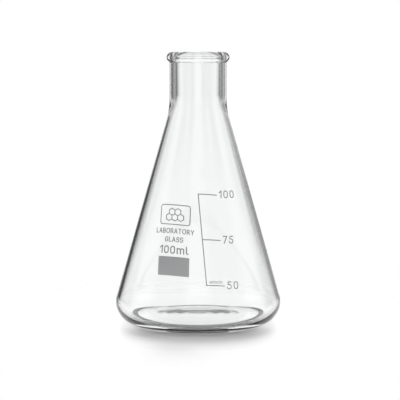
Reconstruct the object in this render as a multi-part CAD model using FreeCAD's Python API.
import FreeCAD, Part
import math
import os

# A 100 ml narrow-mouth conical (Erlenmeyer) flask: one body of blown borosilicate glass, with
# its graduation and legends fired on in grey enamel. Millimetres and degrees. +Z is up the
# flask's axis, the origin is the middle of the foot, and the print faces -Y.

# ---- Driving dimensions of the glass ------------------------------------------------------
BODY_HEIGHT = 105.0
BODY_DIAMETER = 64.0
NECK_DIAMETER = 22.0
CONE_MEETS_NECK = 83.2      # height at which the cone's side would run into the neck's side
HEEL_RADIUS = 8.5           # outside, where the cone turns under into the foot
SHOULDER_RADIUS = 28.0      # outside, where the cone turns up into the neck

NECK_WALL = 2.0
SHOULDER_WALL = 1.1         # the blown wall, square to the cone's side, where the neck begins
HEEL_WALL = 1.4             # the same, run down to the height of the foot
FLOOR_THICKNESS = 2.4
INNER_HEEL_RADIUS = 6.5
INNER_SHOULDER_RADIUS = 14.0

FOOT_INNER_RADIUS = 19.5    # the foot stands on the flat ring outside this radius
PUSH_UP = 0.8               # rise of the underside at its middle

BEAD_DIAMETER = 24.25       # fire-polished bead round the mouth
BEAD_ROLL_RADIUS = 2.1      # section of the bead, outside

# ---- Driving dimensions of the enamel -----------------------------------------------------
ENAMEL_THICKNESS = 0.04
ENAMEL_LOW = 14.0           # the lettering is cut from a skin between these two heights
ENAMEL_HIGH = 58.0
ENAMEL_HALF_SPREAD = 60.0   # degrees round the cone, each side of the front
PRINT_LEAN = 4.2            # the print's columns lean this far from the cone's side lines
NUMERAL_LEAN = -8.0         # the numerals, off to one side, are set upright to the eye instead
ROW_DROP = 2.0              # the print's rows fall this far towards their right-hand ends
CUTTER_DEPTH = 6.0          # depth of the straight cutters that the letters are cut with

LINE_WIDTH = 0.34
SPINE_AZIMUTH = 3.7         # of the scale's upright, half way up it
MARK_HEIGHTS = {"50": 18.9, "75": 35.4, "100": 52.0}
TICK_LENGTH = 6.7
NUMERAL_GAP = 1.1
NUMERAL_HEIGHT = 2.9
NUMERAL_TRACKING = 1.2

LABEL_HEIGHT = 31.5         # the label column's reference point is the middle of its capacity
LABEL_AZIMUTH = -20.8
CAPACITY_HEIGHT = 3.0
CAPACITY_LINE = 0.44
CAPACITY_TRACKING = 1.05
EMBLEM_HEIGHT = 44.3
FRAME_WIDTH = 11.9
FRAME_DEPTH = 7.4
FRAME_CORNER = 0.9
CELL_SIDES = 6
CELL_RADIUS = 1.36          # hexagon cells of the emblem, middle to corner
EMBLEM_ROWS = (3, 2)        # cells in each row, from the bottom
PATCH_CENTRE_HEIGHT = 25.6
PATCH_WIDTH = 12.3
PATCH_DEPTH = 7.15
PATCH_CORNER = 0.35

# ---- Worked out from the dimensions above -------------------------------------------------
Z_AXIS = FreeCAD.Vector(0, 0, 1)
ORIGIN = FreeCAD.Vector(0, 0, 0)
FULL_TURN = 360.0
QUARTER_TURN = 90.0
TOUCHING = 1e-6             # points nearer than this are one point

NECK_RADIUS = NECK_DIAMETER / 2
HEEL_CENTRE = BODY_DIAMETER / 2 - HEEL_RADIUS

# The cone's side runs from the neck's corner down to a tangent on the heel's arc.
CORNER_IN = HEEL_CENTRE - NECK_RADIUS
CORNER_UP = CONE_MEETS_NECK - HEEL_RADIUS
CONE_ANGLE = math.asin(HEEL_RADIUS / math.hypot(CORNER_IN, CORNER_UP)) + math.atan(CORNER_IN / CORNER_UP)
CONE_TAPER = math.tan(CONE_ANGLE)
LEAN_TAPER = math.tan(math.radians(PRINT_LEAN))
NUMERAL_TAPER = math.tan(math.radians(NUMERAL_LEAN))
ROW_TAPER = math.tan(math.radians(ROW_DROP))
SPINE_MIDDLE = (min(MARK_HEIGHTS.values()) + max(MARK_HEIGHTS.values())) / 2


def cone_radius(height):
    """Outer radius of the cone's side at a height."""
    return NECK_RADIUS + (CONE_MEETS_NECK - height) * CONE_TAPER


# ---- Paths with rounded corners -----------------------------------------------------------
def bend(before, corner, after, radius):
    """Start, middle and end of the tangent arc that rounds a corner of a path."""
    if radius <= 0:
        return corner, corner, corner
    back = (before - corner).normalize()
    ahead = (after - corner).normalize()
    half_angle = back.getAngle(ahead) / 2
    setback = radius / math.tan(half_angle)
    to_arc = radius / math.sin(half_angle) - radius
    bisector = (back + ahead).normalize()
    return corner + back * setback, corner + bisector * to_arc, corner + ahead * setback


def joined(bends):
    """The bends' arcs, with a straight edge from each to the next."""
    edges = []
    leave = bends[0][2]
    for arrive, middle, depart in bends[1:]:
        if leave.distanceToPoint(arrive) > TOUCHING:
            edges.append(Part.LineSegment(leave, arrive).toShape())
        if arrive.distanceToPoint(depart) > TOUCHING:
            edges.append(Part.Arc(arrive, middle, depart).toShape())
        leave = depart
    return edges


def open_edges(corners):
    """Edges from the first (point, radius) corner to the last, rounded at those between."""
    points = [point for point, _ in corners]
    inner = zip(points, points[1:], points[2:], [radius for _, radius in corners[1:-1]])
    bends = [bend(*corner) for corner in inner]
    return joined([(points[0],) * 3] + bends + [(points[-1],) * 3])


def closed_wire(corners):
    """Wire round a ring of (point, radius) corners, rounded at every one."""
    points = [point for point, _ in corners]
    ring = zip(points[-1:] + points[:-1], points, points[1:] + points[:1], [radius for _, radius in corners])
    bends = [bend(*corner) for corner in ring]
    return Part.Wire(joined(bends[-1:] + bends))


# ---- The glass ----------------------------------------------------------------------------
def section(radius, height):
    """Point of the half section, in the XZ plane."""
    return FreeCAD.Vector(radius, 0, height)


def bead_roll():
    """The bead's outside: one arc from the neck, round its widest, to its top."""
    middle = section(BEAD_DIAMETER / 2 - BEAD_ROLL_RADIUS, BODY_HEIGHT - BEAD_ROLL_RADIUS)
    drop = math.sqrt(BEAD_ROLL_RADIUS ** 2 - (NECK_RADIUS - middle.x) ** 2)
    foot = section(NECK_RADIUS, middle.z - drop)
    widest = section(middle.x + BEAD_ROLL_RADIUS, middle.z)
    top = section(middle.x, BODY_HEIGHT)
    return Part.Arc(foot, widest, top).toShape()


def outer_corners():
    """Up from the axis: the pushed-up base, the foot's ring, the heel, the cone and the neck."""
    return [
        (section(0, PUSH_UP), 0),
        (section(FOOT_INNER_RADIUS, 0), 0),
        (section(cone_radius(0), 0), HEEL_RADIUS),
        (section(NECK_RADIUS, CONE_MEETS_NECK), SHOULDER_RADIUS),
        (bead_roll().valueAt(0), 0),
    ]


def inner_corners():
    """From the bead's top, over the lip, down the bore and the cone, to the flat inner floor."""
    bore = NECK_RADIUS - NECK_WALL
    lip_width = BEAD_DIAMETER / 2 - BEAD_ROLL_RADIUS - bore
    top = NECK_RADIUS - SHOULDER_WALL / math.cos(CONE_ANGLE)
    inner_taper = (cone_radius(0) - HEEL_WALL / math.cos(CONE_ANGLE) - top) / CONE_MEETS_NECK
    bore_meets_cone = CONE_MEETS_NECK + (top - bore) / inner_taper
    floor_corner = bore + (bore_meets_cone - FLOOR_THICKNESS) * inner_taper
    return [
        (section(bore + lip_width, BODY_HEIGHT), 0),
        (section(bore, BODY_HEIGHT), lip_width),
        (section(bore, bore_meets_cone), INNER_SHOULDER_RADIUS),
        (section(floor_corner, FLOOR_THICKNESS), INNER_HEEL_RADIUS),
        (section(0, FLOOR_THICKNESS), 0),
    ]


def flask_body():
    """The blown glass: one wall section turned about the axis."""
    outside = open_edges(outer_corners())
    inside = open_edges(inner_corners())
    on_axis = Part.LineSegment(section(0, FLOOR_THICKNESS), section(0, PUSH_UP)).toShape()
    outline = Part.Wire([*outside, bead_roll(), *inside, on_axis])
    return Part.Face(outline).revolve(ORIGIN, Z_AXIS, FULL_TURN)


# ---- Strokes drawn flat, then cut from a skin on the cone ----------------------------------
# A glyph is its width and its strokes. A stroke is (across, up, corner radius) points along the
# middle of the pen's line, in shares of the cap height; one that ends where it starts is a ring.
GLYPHS = {
    "0": (0.60, [[(0, 1, 0.29), (0.60, 1, 0.29), (0.60, 0, 0.29), (0, 0, 0.29), (0, 1, 0.29)]]),
    "1": (0.30, [[(0, 0.76, 0), (0.30, 1, 0)], [(0.30, 1, 0), (0.30, 0, 0)]]),
    "5": (0.56, [[(0.52, 1, 0), (0.10, 1, 0), (0.05, 0.60, 0), (0.56, 0.60, 0.27), (0.56, 0, 0.28),
                  (0, 0, 0.20), (0, 0.23, 0)]]),
    "7": (0.56, [[(0, 1, 0), (0.56, 1, 0), (0.20, 0, 0)]]),
    "m": (0.98, [[(0, 0, 0), (0, 0.72, 0)], [(0, 0.40, 0), (0, 0.72, 0.20), (0.49, 0.72, 0.20), (0.49, 0, 0)],
                 [(0.49, 0.40, 0), (0.49, 0.72, 0.20), (0.98, 0.72, 0.20), (0.98, 0, 0)]]),
    "l": (0.20, [[(0, 1, 0), (0, 0, 0.16), (0.20, 0, 0)]]),
}


def leaning(across, up, taper):
    """Point of the flat artwork, sheared so that its columns lean and its rows fall."""
    return FreeCAD.Vector(across - up * taper, up - across * ROW_TAPER, 0)


def left_of(start, end):
    """Unit direction square to a line, on its left."""
    along = (end - start).normalize()
    return FreeCAD.Vector(-along.y, along.x, 0)


def parallel_corner(before, corner, after, radius, distance):
    """A path's corner moved to the line that runs `distance` to the path's left."""
    arriving = left_of(before, corner)
    leaving = left_of(corner, after)
    moved = corner + (arriving + leaving) * (distance / (1 + arriving.dot(leaving)))
    if radius == 0:
        return moved, 0
    turns_left = arriving.cross(leaving).z > 0
    return moved, max(radius - distance if turns_left else radius + distance, 0)


def open_side(corners, distance):
    """Inner corners of an open path, moved to its left."""
    inner = zip(corners, corners[1:], corners[2:])
    return [parallel_corner(a, b, c, radius, distance) for (a, _), (b, radius), (c, _) in inner]


def closed_side(ring, distance):
    """Corners of a closed path, moved to its left."""
    around = zip(ring[-1:] + ring[:-1], ring, ring[1:] + ring[:1])
    return [parallel_corner(a, b, c, radius, distance) for (a, _), (b, radius), (c, _) in around]


def square_end(inside, end, half):
    """The two corners that close a pen line half its width past its end, from left to right."""
    aside = left_of(inside, end) * half
    beyond = end + (end - inside).normalize() * half
    return [(beyond + aside, 0), (beyond - aside, 0)]


def pen_face(stroke, width, taper=LEAN_TAPER):
    """Flat face of one stroke: a path of (across, up, radius) drawn with a broad pen."""
    half = width / 2
    corners = [(leaning(across, up, taper), radius) for across, up, radius in stroke]
    if stroke[0] == stroke[-1]:
        sides = [closed_wire(closed_side(corners[:-1], side)) for side in (half, -half)]
        return Part.makeFace(sides, "Part::FaceMakerBullseye")
    left = open_side(corners, half)
    right = open_side(corners, -half)
    end = square_end(corners[-2][0], corners[-1][0], half)
    start = square_end(corners[1][0], corners[0][0], half)
    return Part.Face(closed_wire(left + end + right[::-1] + start))


def fused(shapes):
    """One shape from several that touch."""
    first, *rest = shapes
    return first.multiFuse(rest).removeSplitter() if rest else first


def cone_band(height, half_width, start_azimuth, end_azimuth):
    """Skin of enamel on the cone, between two azimuths, `half_width` each way up its side."""
    rise = half_width * math.cos(CONE_ANGLE)
    out = ENAMEL_THICKNESS * math.cos(CONE_ANGLE)
    up = ENAMEL_THICKNESS * math.sin(CONE_ANGLE)
    foot = section(cone_radius(height - rise), height - rise)
    head = section(cone_radius(height + rise), height + rise)
    skin = section(out, up)
    profile = Part.Face(Part.makePolygon([foot, foot + skin, head + skin, head, foot]))
    profile.rotate(ORIGIN, Z_AXIS, start_azimuth - QUARTER_TURN)
    return profile.revolve(ORIGIN, Z_AXIS, end_azimuth - start_azimuth)


def full_skin():
    """The skin that every letter is cut from."""
    middle = (ENAMEL_LOW + ENAMEL_HIGH) / 2
    half_width = (ENAMEL_HIGH - ENAMEL_LOW) / 2 / math.cos(CONE_ANGLE)
    return cone_band(middle, half_width, -ENAMEL_HALF_SPREAD, ENAMEL_HALF_SPREAD)


SKIN = full_skin()


def wrapped(faces, height, azimuth):
    """The part of the skin under flat faces held square to the cone at a height and azimuth."""
    turn = FreeCAD.Rotation(Z_AXIS, azimuth)
    tilt = FreeCAD.Rotation(FreeCAD.Vector(1, 0, 0), QUARTER_TURN - math.degrees(CONE_ANGLE))
    point = turn.multVec(FreeCAD.Vector(0, -cone_radius(height), height))
    cutter = fused([face.extrude(FreeCAD.Vector(0, 0, CUTTER_DEPTH)) for face in faces])
    cutter.translate(FreeCAD.Vector(0, 0, -CUTTER_DEPTH / 2))
    cutter.Placement = FreeCAD.Placement(point, turn.multiply(tilt)).multiply(cutter.Placement)
    return SKIN.common(cutter)


def glyph_faces(glyph, cap_height, pen, taper):
    """Flat faces of one glyph's strokes, centred on the middle of its cap height and width."""
    scale = cap_height - pen
    width, strokes = GLYPHS[glyph]
    faces = []
    for stroke in strokes:
        placed = [((x - width / 2) * scale, (y - 0.5) * scale, r * scale) for x, y, r in stroke]
        faces.append(pen_face(placed, pen, taper))
    return faces


def text_width(text, cap_height, pen, tracking):
    """Width of a row between the middles of its first and last strokes."""
    glyphs = sum(GLYPHS[glyph][0] for glyph in text) * (cap_height - pen)
    return glyphs + tracking * (len(text) - 1)


def text_row(text, height, azimuth, cap_height, pen, tracking, taper=LEAN_TAPER):
    """A centred row of letters, each wrapped on the cone at its own azimuth and height."""
    radius = cone_radius(height)
    offset = -text_width(text, cap_height, pen, tracking) / 2
    letters = []
    for glyph in text:
        width = GLYPHS[glyph][0] * (cap_height - pen)
        middle = offset + width / 2
        level = height - middle * ROW_TAPER * math.cos(CONE_ANGLE)
        faces = glyph_faces(glyph, cap_height, pen, taper)
        letters.append(wrapped(faces, level, azimuth + math.degrees(middle / radius)))
        offset += width + tracking
    return letters


def column_azimuth(height, reference_height, reference_azimuth):
    """Azimuth at a height of a straight column that leans as the print does."""
    slant = (reference_height - height) / math.cos(CONE_ANGLE)
    middle_radius = cone_radius((height + reference_height) / 2)
    return reference_azimuth + math.degrees(slant * LEAN_TAPER / middle_radius)


def spine_azimuth(height):
    """Azimuth of the scale's upright at a height."""
    return column_azimuth(height, SPINE_MIDDLE, SPINE_AZIMUTH)


def label_azimuth(height):
    """Azimuth of the middle of the label column at a height."""
    return column_azimuth(height, LABEL_HEIGHT, LABEL_AZIMUTH)


# ---- The enamel ----------------------------------------------------------------------------
def graduation_scale():
    """The leaning upright and its marks, fired on as one line."""
    half_slant = (max(MARK_HEIGHTS.values()) - SPINE_MIDDLE) / math.cos(CONE_ANGLE)
    upright = pen_face([(0, -half_slant, 0), (0, half_slant, 0)], LINE_WIDTH)
    mark = pen_face([(0, 0, 0), (TICK_LENGTH, 0, 0)], LINE_WIDTH)
    pieces = [wrapped([upright], SPINE_MIDDLE, SPINE_AZIMUTH)]
    pieces += [wrapped([mark], height, spine_azimuth(height)) for height in MARK_HEIGHTS.values()]
    return fused(pieces)


def numeral(text):
    """A volume in millilitres, beside the end of its mark."""
    mark_height = MARK_HEIGHTS[text]
    half_width = (text_width(text, NUMERAL_HEIGHT, LINE_WIDTH, NUMERAL_TRACKING) + LINE_WIDTH) / 2
    reach = TICK_LENGTH + NUMERAL_GAP + half_width
    height = mark_height - reach * ROW_TAPER * math.cos(CONE_ANGLE)
    place = spine_azimuth(mark_height) + math.degrees(reach / cone_radius(height))
    return text_row(text, height, place, NUMERAL_HEIGHT, LINE_WIDTH, NUMERAL_TRACKING, NUMERAL_TAPER)


def capacity_legend():
    """The nominal volume, in the heaviest line of the label."""
    return text_row("100ml", LABEL_HEIGHT, LABEL_AZIMUTH, CAPACITY_HEIGHT, CAPACITY_LINE, CAPACITY_TRACKING)


def rounded_rectangle(width, depth, radius):
    """Closed stroke round a rectangle centred on the artwork's origin."""
    across = width / 2
    up = depth / 2
    corners = [(across, -up, radius), (across, up, radius), (-across, up, radius), (-across, -up, radius)]
    return corners + corners[:1]


def emblem_frame():
    """Rounded frame at the head of the label."""
    stroke = rounded_rectangle(FRAME_WIDTH, FRAME_DEPTH, FRAME_CORNER)
    return wrapped([pen_face(stroke, LINE_WIDTH)], EMBLEM_HEIGHT, label_azimuth(EMBLEM_HEIGHT))


def hexagon(across, up):
    """Closed stroke round a hexagon cell that stands on a corner."""
    angles = [math.radians(QUARTER_TURN + corner * FULL_TURN / CELL_SIDES) for corner in range(CELL_SIDES)]
    points = [(across + CELL_RADIUS * math.cos(a), up + CELL_RADIUS * math.sin(a), 0) for a in angles]
    return points + points[:1]


def emblem_mark():
    """Plain cluster of hexagon cells, the ring sign of chemistry."""
    column_step = 2 * CELL_RADIUS * math.cos(math.pi / CELL_SIDES)
    row_step = CELL_RADIUS * (1 + math.sin(math.pi / CELL_SIDES))
    cells = []
    for row, count in enumerate(EMBLEM_ROWS):
        up = (row - (len(EMBLEM_ROWS) - 1) / 2) * row_step
        for column in range(count):
            across = (column - (count - 1) / 2) * column_step
            cells.append(pen_face(hexagon(across, up), LINE_WIDTH))
    return wrapped(cells, EMBLEM_HEIGHT, label_azimuth(EMBLEM_HEIGHT))


def marking_patch():
    """Solid patch of enamel to write on with a pencil."""
    stroke = rounded_rectangle(PATCH_WIDTH, PATCH_DEPTH, PATCH_CORNER)
    corners = [(leaning(across, up, LEAN_TAPER), radius) for across, up, radius in stroke[:-1]]
    face = Part.Face(closed_wire(corners))
    return wrapped([face], PATCH_CENTRE_HEIGHT, label_azimuth(PATCH_CENTRE_HEIGHT))


# ---- One STEP file for each piece ------------------------------------------------------------
def solids_of(shape):
    """Compound of the solids in a shape or a list of shapes."""
    shapes = shape if isinstance(shape, list) else [shape]
    return Part.makeCompound([solid for item in shapes for solid in item.Solids])


PIECES = {
    "flask_body": flask_body(),
    "graduation_scale": graduation_scale(),
    "numeral_50": numeral("50"),
    "numeral_75": numeral("75"),
    "numeral_100": numeral("100"),
    "emblem_frame": emblem_frame(),
    "emblem_mark": emblem_mark(),
    "capacity_legend": capacity_legend(),
    "marking_patch": marking_patch(),
}

os.makedirs("parts", exist_ok=True)
for name, shape in PIECES.items():
    piece = solids_of(shape)
    piece.exportStep(f"parts/{name}.step")
    print(f"{name}: {len(piece.Solids)} solids, {piece.Volume:.3f} mm3, valid {piece.isValid()}")
